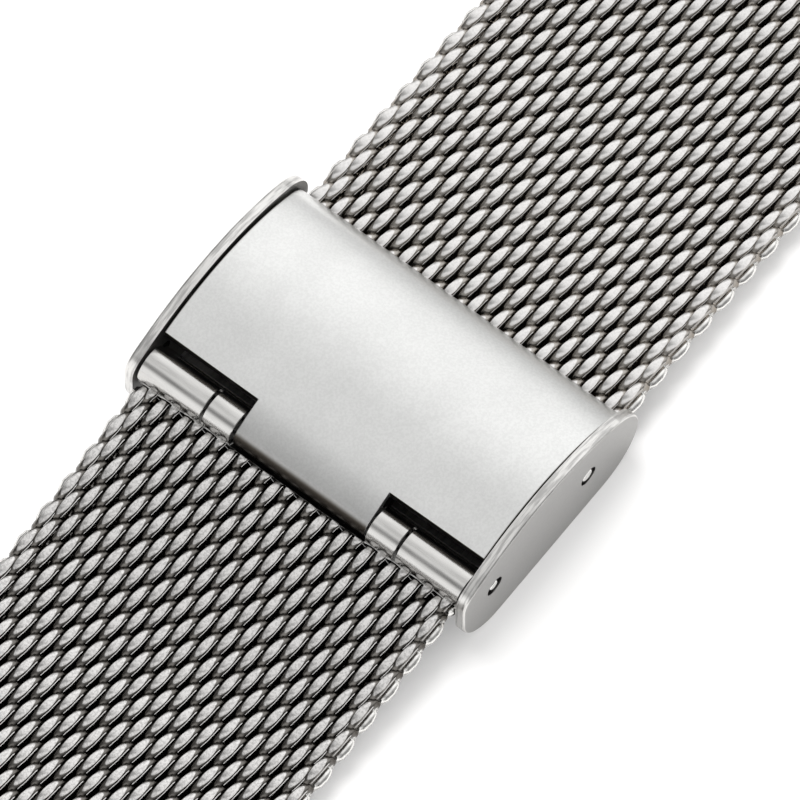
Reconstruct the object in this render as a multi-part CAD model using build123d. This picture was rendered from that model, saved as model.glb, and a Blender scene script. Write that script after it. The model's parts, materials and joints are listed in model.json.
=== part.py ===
from build123d import *
import math
import os

# A milanese mesh watch band with a sliding fold-over clasp, in millimetres.
# X runs along the band, from the short half A at -X to the long half B at +X.
# Y runs across the band, Z is up, and the origin is on the clasp's underside.

# Mesh
mesh_width = 18.0
mesh_thickness = 2.0
row_spacing = 0.84
section_rows = 12
tail_rows = 13
sections_in_half_a = 6
sections_in_half_b = 10
side_edge_radius = 0.55
joint_gap = 0.08

# Clasp frame
plate_gap = 0.3
plate_thickness = 0.53
plate_crest = 6.3
plate_shoulder = 5.2
plate_far_end = 6.55
plate_edge_round = 0.14
base_thickness = 0.5
base_half_length = 4.6
base_edge_chamfer = 0.12
channel_clearance = 0.08

# Barrel at the near end, where half A and the cover turn
barrel_x = -5.32
barrel_z = 4.05
barrel_pin_radius = 0.42
barrel_pin_seat = 0.3
knuckle_radius = 0.95
knuckle_clearance = 0.05
knuckle_side_gap = 0.1
knuckle_end_gap = 0.14
knuckle_edge_chamfer = 0.03
long_knuckle_length = 3.55
short_knuckle_length = 1.58

# Cover
cover_drop = 0.2
cover_thickness = 0.45
cover_far_inset = 0.4
curl_radius = 0.8
cover_side_gap = 0.08
cover_lip_height = 2.95
notch_edge_x = -4.2

# Pins across the frame
lever_pin_x = -4.22
lever_pin_z = 3.33
catch_pin_x = 2.75
catch_pin_z = 3.2
lever_pin_radius = 0.28
catch_pin_radius = 0.35
pin_end_recess = 0.03
pin_end_dome = 0.08
press_gap = 0.01
rivet_ring_radius = 0.52
rivet_ring_depth = 0.28

# Lock lever under the cover
lever_side_gap = 0.75
lever_neck_side_gap = 0.15
lever_arm_start_x = -3.6
lever_eye_wall = 0.15
lever_pin_clearance = 0.03
lever_arm_thickness = 0.45
lever_arm_rise = 0.1
lever_nose_x = 1.6
lever_nose_length = 0.9
lever_nose_clearance = 0.04
lever_tooth_count = 3
lever_tooth_depth = 0.22
lever_hump_length = 0.8
lever_hump_clearance = 0.12

# Catch tongue under the cover's far end
tongue_half_width = 2.5
tongue_thickness = 0.3
tongue_clearance = 0.12
tongue_seat_gap = 0.02
tongue_foot_length = 1.6

# Half A where it leaves the barrel
weld_foot_start = 0.6
weld_foot_top = 0.35
mesh_top_below_barrel = 0.05
weld_gap = 0.02

# Tail of half B
tail_tip_x = -1.0
tail_edge_length = 0.5

# Spring bars at the two lug ends
end_tube_bore = 0.8
bar_body_radius = 0.75
bar_body_bore = 0.5
bar_crimp_bore = 0.42
bar_crimp_length = 0.4
bar_flange_gap = 1.2
tip_radius = 0.4
tip_reach = 0.9
tip_flange_radius = 0.7
tip_flange_length = 0.5
tip_shank_radius = 0.36
tip_head_radius = 0.45
tip_head_length = 1.8
tip_head_gap = 0.1
tip_edge_round = 0.1
spring_radius = 0.42
spring_wall = 0.14
spring_end_gap = 0.05

# Values that follow
overrun = mesh_width
half_turn = 180.0
half_width = mesh_width / 2
half_thickness = mesh_thickness / 2
section_length = section_rows * row_spacing
tail_length = tail_rows * row_spacing
inner_half_width = half_width + plate_gap
outer_half_width = inner_half_width + plate_thickness
cover_half_width = inner_half_width - cover_side_gap
far_radius = plate_shoulder / 2
far_x = plate_far_end - far_radius
barrel_end_radius = plate_shoulder - barrel_z
near_corner_x = barrel_x - barrel_end_radius + far_radius
knuckle_bore = barrel_pin_radius + knuckle_clearance
channel_floor = base_thickness + channel_clearance
channel_middle = channel_floor + half_thickness
channel_top = channel_floor + mesh_thickness
lever_eye_radius = lever_pin_radius + lever_pin_clearance + lever_eye_wall
long_knuckle_outer = inner_half_width - knuckle_side_gap
long_knuckle_inner = long_knuckle_outer - long_knuckle_length
short_knuckle_outer = long_knuckle_inner - knuckle_end_gap
short_knuckle_inner = short_knuckle_outer - short_knuckle_length
tab_half_width = short_knuckle_inner - knuckle_end_gap
lever_half_width = inner_half_width - lever_side_gap
neck_half_width = tab_half_width - lever_neck_side_gap
first_section_offset = mesh_top_below_barrel + half_thickness
first_section_end = knuckle_radius + section_length
tip_flange_start = half_width - tip_flange_length
bar_body_half_length = tip_flange_start - bar_flange_gap
crimp_start = bar_body_half_length - bar_crimp_length
tip_head_end = crimp_start - tip_head_gap
tip_head_start = tip_head_end - tip_head_length


def crest_arch(near_radius, crest, round_radius):
    """Centre and radius of the top arch that reaches the crest and is tangent to both end rounds."""
    near_rise = crest - barrel_z - near_radius
    far_rise = crest - far_radius - round_radius
    near_term = (crest - barrel_z) ** 2 - near_radius ** 2
    far_term = (crest - far_radius) ** 2 - round_radius ** 2
    square = far_rise - near_rise
    linear = 2 * (near_rise * far_x - far_rise * barrel_x)
    constant = far_rise * (barrel_x ** 2 + near_term) - near_rise * (far_x ** 2 + far_term)
    centre_x = -2 * constant / (linear + math.sqrt(linear ** 2 - 4 * square * constant))
    radius = ((centre_x - barrel_x) ** 2 + near_term) / (2 * near_rise)
    return centre_x, crest - radius, radius


def point_beyond(centre, through, distance):
    """The point at a distance from a centre, in the direction of another point."""
    length = math.hypot(through[0] - centre[0], through[1] - centre[1])
    share = distance / length
    return (centre[0] + share * (through[0] - centre[0]), centre[1] + share * (through[1] - centre[1]))


def outline(near_inset, crest_inset, far_inset):
    """Face of the side plate's outline in the XZ plane, drawn inwards by an inset at each end and at the crest."""
    near_radius = barrel_end_radius - near_inset
    round_radius = far_radius - far_inset
    arch_x, arch_z, arch_radius = crest_arch(near_radius, plate_crest - crest_inset, round_radius)
    near_point = point_beyond((arch_x, arch_z), (barrel_x, barrel_z), arch_radius)
    far_point = point_beyond((arch_x, arch_z), (far_x, far_radius), arch_radius)
    slant = math.sqrt(2) / 2
    near_edge = barrel_x - near_radius
    near_middle = point_beyond((barrel_x, barrel_z), (barrel_x - near_radius, near_point[1]), near_radius)
    corner_middle = (near_corner_x - slant * round_radius, far_radius - slant * round_radius)
    far_middle = (far_x + round_radius, far_radius)
    edges = [
        Line((near_corner_x, far_inset), (far_x, far_inset)),
        ThreePointArc((far_x, far_inset), far_middle, far_point),
        ThreePointArc(far_point, (arch_x, arch_z + arch_radius), near_point),
        ThreePointArc(near_point, near_middle, (near_edge, barrel_z)),
        Line((near_edge, barrel_z), (near_edge, far_radius)),
        ThreePointArc((near_edge, far_radius), corner_middle, (near_corner_x, far_inset)),
    ]
    return make_face(Curve() + edges)


def cover_outline(depth):
    """Face of the cover's outer outline, drawn inwards by a depth."""
    return outline(barrel_end_radius - curl_radius + depth, cover_drop + depth, cover_far_inset + depth)


def across(face, y_low, y_high):
    """Extrude a face drawn in X and Z across the band, from y_low to y_high."""
    plane = Plane(origin=(0, y_high, 0), x_dir=(1, 0, 0), z_dir=(0, -1, 0))
    return extrude(plane * face, amount=y_high - y_low)


def rod(radius, y_low, y_high, x, z):
    """A round rod that lies across the band."""
    plane = Plane(origin=(x, y_low, z), x_dir=(1, 0, 0), z_dir=(0, 1, 0))
    return plane * extrude(Circle(radius), amount=y_high - y_low)


def block(x_low, x_high, y_low, y_high, z_low, z_high):
    """A block between two corners."""
    size = (x_high - x_low, y_high - y_low, z_high - z_low)
    middle = ((x_low + x_high) / 2, (y_low + y_high) / 2, (z_low + z_high) / 2)
    return Pos(*middle) * Box(*size)


def side_plate(side):
    """One side plate: outline, rounded outer edge, blind seat for the barrel pin and two pin holes."""
    y_inner = side * inner_half_width
    y_outer = side * outer_half_width
    y_low, y_high = min(y_inner, y_outer), max(y_inner, y_outer)
    plate = across(outline(0, 0, 0), y_low, y_high)
    outer_face = plate.faces().sort_by(Axis.Y)[-1 if side > 0 else 0]
    plate = fillet(outer_face.edges(), plate_edge_round)
    seat_end = y_inner + side * barrel_pin_seat
    y_low, y_high = min(y_inner, seat_end), max(y_inner, seat_end)
    plate -= rod(barrel_pin_radius + press_gap, y_low, y_high, barrel_x, barrel_z)
    for radius, x, z in pin_places():
        plate -= rod(radius + press_gap, min(y_inner, y_outer), max(y_inner, y_outer), x, z)
        ring_start = y_outer - side * rivet_ring_depth
        plate -= rod(rivet_ring_radius, min(ring_start, y_outer), max(ring_start, y_outer), x, z)
    return plate


def pin_places():
    """Radius and place of the two pins that show at the plates' outer faces."""
    return [
        (lever_pin_radius, lever_pin_x, lever_pin_z),
        (catch_pin_radius, catch_pin_x, catch_pin_z),
    ]


def base_plate():
    """The floor of the clasp, which joins the two side plates."""
    plate = block(-base_half_length, base_half_length, -inner_half_width, inner_half_width, 0, base_thickness)
    return chamfer(plate.edges().filter_by(Axis.Y), base_edge_chamfer)


def barrel_pin():
    """The pin through the cover's curl and half A's knuckles, seated blind in both plates."""
    end = inner_half_width + barrel_pin_seat
    return rod(barrel_pin_radius, -end, end, barrel_x, barrel_z)


def frame_pin(radius, x, z):
    """A pin whose domed ends lie just inside the plates' outer faces."""
    end = outer_half_width - pin_end_recess
    pin = rod(radius, -end, end, x, z)
    return fillet(pin.edges().filter_by(GeomType.CIRCLE), pin_end_dome)


def cover_plate():
    """The crowned cover: rolled down at the far end, notched and curled round the barrel pin at the near end."""
    shell = cover_outline(0) - cover_outline(cover_thickness)
    cover = across(shell, -cover_half_width, cover_half_width)
    kept = block(barrel_x, overrun, -overrun, overrun, cover_lip_height, overrun)
    kept += block(-overrun, barrel_x, -overrun, overrun, barrel_z, overrun)
    cover &= kept
    for side in (-1, 1):
        tab_edge = side * tab_half_width
        past_edge = side * overrun
        cover -= block(-overrun, notch_edge_x, min(tab_edge, past_edge), max(tab_edge, past_edge), 0, overrun)
    cover += rod(curl_radius, -tab_half_width, tab_half_width, barrel_x, barrel_z)
    cover -= rod(knuckle_bore, -overrun, overrun, barrel_x, barrel_z)
    return cover


def catch_tongue():
    """A leaf spring on the cover's underside that bears on the far side of the catch pin."""
    reach = math.hypot(catch_pin_x - barrel_x, catch_pin_z - barrel_z)
    inner = reach + catch_pin_radius + tongue_clearance
    ring = Circle(inner + tongue_thickness) - Circle(inner)
    leaf = across(Pos(barrel_x, barrel_z) * ring, -tongue_half_width, tongue_half_width)
    foot_inner = cover_outline(cover_thickness + tongue_seat_gap)
    foot = across(foot_inner, -tongue_half_width, tongue_half_width)
    leaf &= foot
    tip_height = catch_pin_z - catch_pin_radius / 2
    leaf &= block(0, overrun, -overrun, overrun, tip_height, overrun)
    band = foot_inner - cover_outline(cover_thickness + tongue_seat_gap + tongue_thickness)
    pad = across(band, -tongue_half_width, tongue_half_width)
    foot_end = barrel_x + inner + tongue_thickness / 2
    pad &= block(foot_end - tongue_foot_length, foot_end, -overrun, overrun, catch_pin_z, overrun)
    return leaf + pad


def lock_lever():
    """The lever that grips half B: eye and neck behind the cover's curl, wide arm, toothed nose and a hump."""
    arm_low = lever_pin_z + lever_arm_rise
    arm_high = arm_low + lever_arm_thickness
    nose_start = lever_nose_x - lever_nose_length
    nose_low = channel_top + lever_nose_clearance
    lever = rod(lever_eye_radius, -neck_half_width, neck_half_width, lever_pin_x, lever_pin_z)
    lever += block(lever_pin_x, lever_arm_start_x, -neck_half_width, neck_half_width, arm_low, arm_high)
    lever += block(lever_arm_start_x, lever_nose_x, -lever_half_width, lever_half_width, arm_low, arm_high)
    lever += block(nose_start, lever_nose_x, -lever_half_width, lever_half_width, nose_low, arm_high)
    hump_top = plate_crest - cover_drop - cover_thickness - lever_hump_clearance
    hump_start = nose_start - lever_hump_length
    hump = block(hump_start, nose_start, -lever_half_width, lever_half_width, arm_high, hump_top)
    top_edges = hump.edges().filter_by(Axis.Y).group_by(Axis.Z)[-1]
    lever += fillet(top_edges, lever_hump_length / 4)
    pitch = lever_nose_length / lever_tooth_count
    for tooth in range(1, lever_tooth_count):
        x = nose_start + tooth * pitch
        corners = [(x - pitch / 2, nose_low), (x, nose_low + lever_tooth_depth), (x + pitch / 2, nose_low)]
        groove = make_face(Polyline(*corners, close=True))
        lever -= across(groove, -overrun, overrun)
    lever -= rod(lever_pin_radius + lever_pin_clearance, -overrun, overrun, lever_pin_x, lever_pin_z)
    return lever


def knuckle(y_low, y_high):
    """One of half A's knuckles: a tube on the barrel pin with the weld foot that joins it to the mesh."""
    tube = rod(knuckle_radius, y_low, y_high, 0, 0)
    tube = chamfer(tube.edges().filter_by(GeomType.CIRCLE), knuckle_edge_chamfer)
    foot_low = -first_section_offset
    tube += block(weld_foot_start, knuckle_radius, y_low, y_high, foot_low, -weld_foot_top)
    tube -= rod(knuckle_bore, -overrun, overrun, 0, 0)
    return place(tube, (barrel_x, barrel_z), first_droop, half_turn)


def place(solid, start, droop, turn):
    """Set a piece drawn along +X at its start point, turned to its half and tilted down by a droop in degrees."""
    side = math.cos(math.radians(turn))
    turned = solid.rotate(Axis.Z, turn).rotate(Axis.Y, side * droop)
    return turned.moved(Location((start[0], 0, start[1])))


def section(start, end, middle, near_round, far_round):
    """One run of mesh, drawn along +X: hollow at a round of the near radius, and hollow or bulged at the far end."""
    low, high = middle - half_thickness, middle + half_thickness
    slab = block(start - half_thickness, end + half_thickness, -half_width, half_width, low, high)
    slab = fillet(slab.edges().filter_by(Axis.X), side_edge_radius)
    slab &= block(start, overrun, -overrun, overrun, low, high)
    if near_round:
        slab -= rod(near_round, -overrun, overrun, start, middle)
    if far_round:
        slab &= block(0, end, -overrun, overrun, low, high)
        slab -= rod(far_round, -overrun, overrun, end, middle)
    else:
        bulge = rod(half_thickness, -overrun, overrun, end, middle)
        slab &= block(0, end, -overrun, overrun, low, high) + bulge
    return slab


def path_points():
    """Hinge points and droops, in degrees, of both halves as the band lies on a table."""
    ends_a = [(barrel_x, barrel_z)]
    along, down = math.cos(math.radians(first_droop)), math.sin(math.radians(first_droop))
    x = barrel_x - first_section_end * along + first_section_offset * down
    ends_a.append((x, half_thickness))
    for number in range(1, sections_in_half_a):
        ends_a.append((ends_a[-1][0] - section_length, half_thickness))
    ends_b = [(tail_tip_x, channel_middle), (tail_tip_x + tail_length, channel_middle)]
    run = math.sqrt(section_length ** 2 - (channel_middle - half_thickness) ** 2)
    ends_b.append((ends_b[-1][0] + run, half_thickness))
    for number in range(2, sections_in_half_b):
        ends_b.append((ends_b[-1][0] + section_length, half_thickness))
    return ends_a, ends_b


def droop_of_first_section():
    """Angle, in degrees, that brings the first run of half A from the barrel down to the table."""
    drop = barrel_z - half_thickness
    reach = math.hypot(first_section_end, first_section_offset)
    return math.degrees(math.asin(drop / reach) - math.atan2(first_section_offset, first_section_end))


def end_tube(x):
    """The tube that closes a lug end, welded to the mesh."""
    tube = rod(half_thickness, -half_width, half_width, x, half_thickness)
    tube = chamfer(tube.edges().filter_by(GeomType.CIRCLE), knuckle_edge_chamfer)
    return tube - rod(end_tube_bore, -overrun, overrun, x, half_thickness)


def bar_body(x):
    """A spring bar's body: a tube crimped in at both ends to keep the tips."""
    body = rod(bar_body_radius, -bar_body_half_length, bar_body_half_length, x, half_thickness)
    body -= rod(bar_body_bore, -crimp_start, crimp_start, x, half_thickness)
    return body - rod(bar_crimp_bore, -overrun, overrun, x, half_thickness)


def bar_tip(x, side):
    """A spring bar's tip: head inside the crimp, shank, flange and the pivot that enters a lug."""
    reach = half_width + tip_reach
    spans = [
        (tip_head_radius, tip_head_start, tip_head_end),
        (tip_shank_radius, tip_head_end, tip_flange_start),
        (tip_flange_radius, tip_flange_start, half_width),
    ]
    pivot = rod(tip_radius, min(side * half_width, side * reach), max(side * half_width, side * reach), x, half_thickness)
    outer_rim = pivot.edges().filter_by(GeomType.CIRCLE).sort_by(Axis.Y)[-1 if side > 0 else 0]
    tip = fillet(outer_rim, tip_edge_round)
    for radius, start, end in spans:
        tip += rod(radius, min(side * start, side * end), max(side * start, side * end), x, half_thickness)
    return tip


def bar_spring(x):
    """The spring inside a spring bar, as a thin sleeve between the two tips' heads."""
    end = tip_head_start - spring_end_gap
    sleeve = rod(spring_radius, -end, end, x, half_thickness)
    return sleeve - rod(spring_radius - spring_wall, -overrun, overrun, x, half_thickness)


def tail_edge():
    """The welded strip that closes half B's free end."""
    low, high = channel_floor, channel_top
    end = tail_tip_x + tail_edge_length - weld_gap
    strip = block(tail_tip_x, end, -half_width, half_width, low, high)
    return fillet(strip.edges().filter_by(Axis.Y).group_by(Axis.X)[0], tail_edge_length / 2)


def mesh_half_a(ends):
    """The runs of mesh in half A, from the barrel to the lug end."""
    socket = half_thickness + joint_gap
    tube_seat = half_thickness + weld_gap
    runs = {}
    for number in range(1, sections_in_half_a + 1):
        last = number == sections_in_half_a
        far_round = tube_seat if last else 0
        if number == 1:
            run = section(knuckle_radius + weld_gap, first_section_end, -first_section_offset, 0, far_round)
            run = place(run, ends[0], first_droop, half_turn)
        else:
            run = section(0, section_length, 0, socket, far_round)
            run = place(run, ends[number - 1], 0, half_turn)
        runs[f"mesh_a_{number}"] = run
    return runs


def mesh_half_b(ends):
    """The runs of mesh in half B, from the tail in the clasp to the lug end."""
    socket = half_thickness + joint_gap
    tube_seat = half_thickness + weld_gap
    runs = {}
    for number in range(1, sections_in_half_b + 1):
        last = number == sections_in_half_b
        far_round = tube_seat if last else 0
        start = ends[number - 1]
        if number == 1:
            run = section(tail_edge_length, tail_length, 0, 0, far_round)
            run = place(run, start, 0, 0)
        else:
            drop = start[1] - ends[number][1]
            droop = math.degrees(math.asin(drop / section_length))
            run = section(0, section_length, 0, socket, far_round)
            run = place(run, start, droop, 0)
        runs[f"mesh_b_{number}"] = run
    return runs


def lug_end(half, x):
    """The end tube and spring bar of one half."""
    return {
        f"end_tube_{half}": end_tube(x),
        f"bar_body_{half}": bar_body(x),
        f"bar_spring_{half}": bar_spring(x),
        f"bar_tip_{half}_left": bar_tip(x, 1),
        f"bar_tip_{half}_right": bar_tip(x, -1),
    }


first_droop = droop_of_first_section()
points_a, points_b = path_points()

parts = {
    "left_side_plate": side_plate(1),
    "right_side_plate": side_plate(-1),
    "base_plate": base_plate(),
    "barrel_pin": barrel_pin(),
    "lever_pin": frame_pin(lever_pin_radius, lever_pin_x, lever_pin_z),
    "catch_pin": frame_pin(catch_pin_radius, catch_pin_x, catch_pin_z),
    "cover_plate": cover_plate(),
    "catch_tongue": catch_tongue(),
    "lock_lever": lock_lever(),
    "long_knuckle_left": knuckle(long_knuckle_inner, long_knuckle_outer),
    "long_knuckle_right": knuckle(-long_knuckle_outer, -long_knuckle_inner),
    "short_knuckle_left": knuckle(short_knuckle_inner, short_knuckle_outer),
    "short_knuckle_right": knuckle(-short_knuckle_outer, -short_knuckle_inner),
    "tail_edge": tail_edge(),
}
parts.update(mesh_half_a(points_a))
parts.update(mesh_half_b(points_b))
parts.update(lug_end("a", points_a[-1][0]))
parts.update(lug_end("b", points_b[-1][0]))

os.makedirs("parts", exist_ok=True)
for name, piece in parts.items():
    export_step(piece, f"parts/{name}.step")
print("first droop", round(first_droop, 3))
print("hinge points of half A", [(round(x, 4), round(z, 4)) for x, z in points_a])
print("hinge points of half B", [(round(x, 4), round(z, 4)) for x, z in points_b])
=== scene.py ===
import json
import math

import bmesh
import bpy
import numpy as np
from bpy.props import FloatProperty, FloatVectorProperty, IntProperty, PointerProperty
from bpy.types import Operator, Panel, PropertyGroup
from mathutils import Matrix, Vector

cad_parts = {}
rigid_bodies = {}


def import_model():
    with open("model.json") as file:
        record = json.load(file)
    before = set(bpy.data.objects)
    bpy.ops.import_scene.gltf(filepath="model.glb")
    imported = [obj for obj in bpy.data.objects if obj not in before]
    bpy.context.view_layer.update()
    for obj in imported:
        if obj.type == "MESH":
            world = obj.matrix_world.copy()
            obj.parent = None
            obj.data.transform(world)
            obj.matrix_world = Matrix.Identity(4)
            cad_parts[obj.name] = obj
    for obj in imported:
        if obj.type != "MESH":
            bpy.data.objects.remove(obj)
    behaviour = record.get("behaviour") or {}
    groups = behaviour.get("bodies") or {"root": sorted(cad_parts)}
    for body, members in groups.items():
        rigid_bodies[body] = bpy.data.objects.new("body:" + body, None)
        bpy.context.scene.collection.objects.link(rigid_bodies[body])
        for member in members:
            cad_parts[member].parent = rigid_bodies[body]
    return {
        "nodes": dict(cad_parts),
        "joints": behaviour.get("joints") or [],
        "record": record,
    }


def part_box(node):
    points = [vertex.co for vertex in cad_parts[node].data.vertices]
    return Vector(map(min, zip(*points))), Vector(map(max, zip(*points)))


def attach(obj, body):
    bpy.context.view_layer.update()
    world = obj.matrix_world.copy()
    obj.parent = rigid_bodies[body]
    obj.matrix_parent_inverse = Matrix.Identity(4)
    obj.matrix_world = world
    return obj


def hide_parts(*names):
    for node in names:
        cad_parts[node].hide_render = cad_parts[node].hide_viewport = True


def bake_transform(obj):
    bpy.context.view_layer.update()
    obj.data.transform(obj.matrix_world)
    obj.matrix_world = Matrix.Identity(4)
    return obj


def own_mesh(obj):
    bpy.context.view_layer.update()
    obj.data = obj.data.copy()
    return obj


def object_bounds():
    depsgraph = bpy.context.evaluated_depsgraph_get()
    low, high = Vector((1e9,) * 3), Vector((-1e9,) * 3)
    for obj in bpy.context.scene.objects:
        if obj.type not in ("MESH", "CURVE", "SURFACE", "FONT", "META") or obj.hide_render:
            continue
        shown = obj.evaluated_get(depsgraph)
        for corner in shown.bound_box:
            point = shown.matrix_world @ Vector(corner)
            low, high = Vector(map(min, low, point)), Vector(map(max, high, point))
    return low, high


# A woven steel mesh watch band with a sliding fold-over clasp, in metres.
# X runs along the band from the short half A at -X to the long half B at +X.
# Y runs across the band, Z is up, and the origin is on the clasp's underside.

bl_info = {
    "name": "Mesh Watch Band Finish",
    "version": (1, 0, 0),
    "blender": (4, 5, 0),
    "location": "3D View > Sidebar > Mesh Band",
    "description": "Weaves the wire mesh of a steel watch band and finishes its clasp",
    "category": "Object",
}

MM = 0.001

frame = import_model()
cad_box = [list(corner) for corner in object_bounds()]
joints = {joint["name"]: joint for joint in frame["joints"]}
mounts = {mount["name"]: mount for mount in frame["record"]["mounts"]}


class BandWeaveSettings(PropertyGroup):
    """Sizes of the woven wire."""

    wire_radius: FloatProperty(
        name="Wire radius", description="Radius of the round wire", default=0.27 * MM, unit="LENGTH")
    row_spacing: FloatProperty(
        name="Row spacing", description="Distance between rows along the band",
        default=0.84 * MM, unit="LENGTH")
    turn_pitch: FloatProperty(
        name="Turn pitch", description="Distance between turns across the band",
        default=1.32 * MM, unit="LENGTH")
    row_reach: FloatProperty(
        name="Row reach", description="Half a row's extent along the band",
        default=0.95 * MM, unit="LENGTH")
    ground_depth: FloatProperty(
        name="Ground depth", description="How far above the wire's middle the crests are ground flat",
        default=0.16 * MM, unit="LENGTH")
    crest_lean: FloatProperty(
        name="Crest lean", description="How much of a turn's advance lies at its ends, not on its crest",
        default=0.5, min=0.0, max=1.0, subtype="FACTOR")
    edge_crowding: FloatProperty(
        name="Edge crowding", description="How far a row's last turn is pressed together at the mesh's edge",
        default=0.4, min=0.0, max=1.0, subtype="FACTOR")
    edge_reach: FloatProperty(
        name="Edge reach", description="How far the edge loops stand out past the mesh's nominal width",
        default=0.27 * MM, unit="LENGTH")
    loop_bulge: FloatProperty(
        name="Loop bulge", description="How far an edge loop swings out past the end of the row's last crest",
        default=0.36 * MM, unit="LENGTH")
    loop_reach: FloatProperty(
        name="Loop reach", description="Half an edge loop's extent along the band",
        default=0.66 * MM, unit="LENGTH")
    loop_rise: FloatProperty(
        name="Loop rise", description="Height of an edge loop over the middle of the mesh",
        default=0.35 * MM, unit="LENGTH")


class BandFinishSettings(PropertyGroup):
    """Colours and gloss of the metals."""

    crest_colour: FloatVectorProperty(
        name="Crest colour", description="The ground crests",
        default=(0.88, 0.865, 0.85), subtype="COLOR")
    # The round sides of the wire are painted dark as shade in this colour.
    flank_shade_colour: FloatVectorProperty(
        name="Flank colour", description="The round sides of the wire",
        default=(0.18, 0.17, 0.158), subtype="COLOR")
    # Painted near black shade deep in the weave and on the cover's curl and cut edges; it also tints the
    # cover's blasted specks.
    shade_and_speck_colour: FloatVectorProperty(
        name="Gap colour", description="The wire deep in the weave",
        default=(0.058, 0.051, 0.043), subtype="COLOR")
    satin_colour: FloatVectorProperty(
        name="Satin colour", description="The blasted cover",
        default=(0.765, 0.768, 0.758), subtype="COLOR")
    plate_colour: FloatVectorProperty(
        name="Plate colour", description="The brushed side plates",
        default=(0.74, 0.73, 0.715), subtype="COLOR")
    polish_colour: FloatVectorProperty(
        name="Polish colour", description="The polished tubes and pins",
        default=(0.80, 0.79, 0.77), subtype="COLOR")
    satin_roughness: FloatProperty(
        name="Satin roughness", description="Gloss of the cover", default=0.33, min=0.0, max=1.0,
        subtype="FACTOR")
    edge_softness: FloatProperty(
        name="Edge softness", description="Width of the broken edges on sheet parts",
        default=0.045 * MM, unit="LENGTH")


class BandStageSettings(PropertyGroup):
    """Camera, lamps and floor."""

    camera_turn: FloatProperty(
        name="Camera turn", description="Heading of the view, from +Y towards +X",
        default=math.radians(52.17), subtype="ANGLE")
    camera_height: FloatProperty(
        name="Camera height", description="Angle of the camera above the floor",
        default=math.radians(66.18), subtype="ANGLE")
    camera_distance: FloatProperty(
        name="Camera distance", description="From the clasp's foot to the camera",
        default=1000 * MM, unit="LENGTH")
    frame_width: FloatProperty(
        name="Frame width", description="Width of the view at the clasp's foot",
        default=36.57 * MM, unit="LENGTH")
    origin_column: FloatProperty(
        name="Origin column", description="Image column of the clasp's foot",
        default=380.7, subtype="PIXEL")
    origin_row: FloatProperty(
        name="Origin row", description="Image row of the clasp's foot, from the top",
        default=427.1, subtype="PIXEL")
    image_size: IntProperty(
        name="Image size", description="Width and height of the image", default=800, subtype="PIXEL")
    key_power: FloatProperty(
        name="Key lamp", description="Power of the large lamp", default=5.0, unit="POWER")
    fill_power: FloatProperty(
        name="Fill lamp", description="Power of the small lamp", default=1.2, unit="POWER")
    sky_strength: FloatProperty(
        name="Sky", description="Strength of the surrounding light", default=1.75, min=0.0,
        soft_max=5.0, subtype="FACTOR")
    floor_size: FloatProperty(
        name="Floor size", description="Half the floor's width", default=4.0, unit="LENGTH")


# Half A hangs below the barrel, with its end welded to the knuckles.
TOP_BELOW_BARREL = 0.05 * MM
WELD_GAP = 0.02 * MM
WELD_RADIUS = 0.035 * MM
WELD_STEPS = 240
# The weld bead's swell, as the size, the rate per millimetre and the start of each sine.
WELD_WAVES = ((0.28, 9.1, 0.0), (0.22, 23.7, 1.0), (0.12, 41.3, 2.0))
# Its middle sways this far along the band, at this rate per millimetre across it, and lies this share of its
# radius below the top of the mesh.
WELD_SWAY = 0.02 * MM
WELD_SWAY_RATE = 5.3
WELD_SUNK_SHARE = 0.9
LAST_ROW_OVERHANG = 0.19 * MM
STRIP_SECTION = ((-0.97, -0.38), (-0.26, -0.96), (-0.30, -1.01), (-0.97, -0.46))
# The open cover's skin lies this far from the barrel, square to a direction at this angle from +X towards +Z,
# and reaches this far back along X.
OPEN_SKIN_REACH = 0.84 * MM
OPEN_SKIN_ANGLE = math.radians(230)
OPEN_SKIN_LENGTH = 3.36 * MM
# At rest the mesh bends over the first distance to each side of a hinge. The second distance, to each side of
# half B's hinge at the clasp, is worked out for half B's stretch there but not used.
BEND_REACH = 4.0 * MM
TIGHT_BEND_REACH = 1.5 * MM
PATH_STEP = 0.05 * MM
# The woven rows go this far into a lug tube.
TUBE_OVERLAP = 0.35 * MM


def hinge_point(name):
    """A hinge's place in the XZ plane."""
    return np.array(joints[name]["pos_m"], float)[[0, 2]]


def half_a_corners():
    """Corners of half A's middle line, from the lug to the barrel, with a hinge at each inner corner.

    The run beside the barrel has its middle a set distance below it, so its tilt is the slope from its hinge
    to the barrel less the angle whose sine is that distance over the slope's length.
    """
    barrel = hinge_point("strap_a_hinge")
    names = [f"bend_a_{number}" for number in range(6, 1, -1)]
    hinges = [hinge_point(name) for name in names]
    lug = np.array(mounts["lug_pin_a_left"]["pos_m"], float)[[0, 2]]
    below_barrel = TOP_BELOW_BARREL + weave_half_thickness()
    slope = barrel - hinges[-1]
    length = np.hypot(*slope)
    tilt = math.atan2(slope[1], slope[0]) - math.asin(below_barrel / length)
    run = math.sqrt(length ** 2 - below_barrel ** 2) - tube_radius() - WELD_GAP
    start = hinges[-1] + run * np.array([math.cos(tilt), math.sin(tilt)])
    return np.array([lug, *hinges, start])


def half_b_corners():
    """Corners of half B's middle line, from its tail in the clasp to the lug."""
    tail_low, tail_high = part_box("tail_edge")
    tail = np.array([tail_high[0], (tail_low[2] + tail_high[2]) / 2])
    hinges = [hinge_point(f"bend_b_{number}") for number in range(2, 11)]
    lug = np.array(mounts["lug_pin_b_left"]["pos_m"], float)[[0, 2]]
    return np.array([tail, *hinges, lug])


def tube_radius():
    """Radius of half A's knuckles, from the top of a knuckle's box above the barrel."""
    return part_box("long_knuckle_left")[1][2] - hinge_point("strap_a_hinge")[1]


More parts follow.
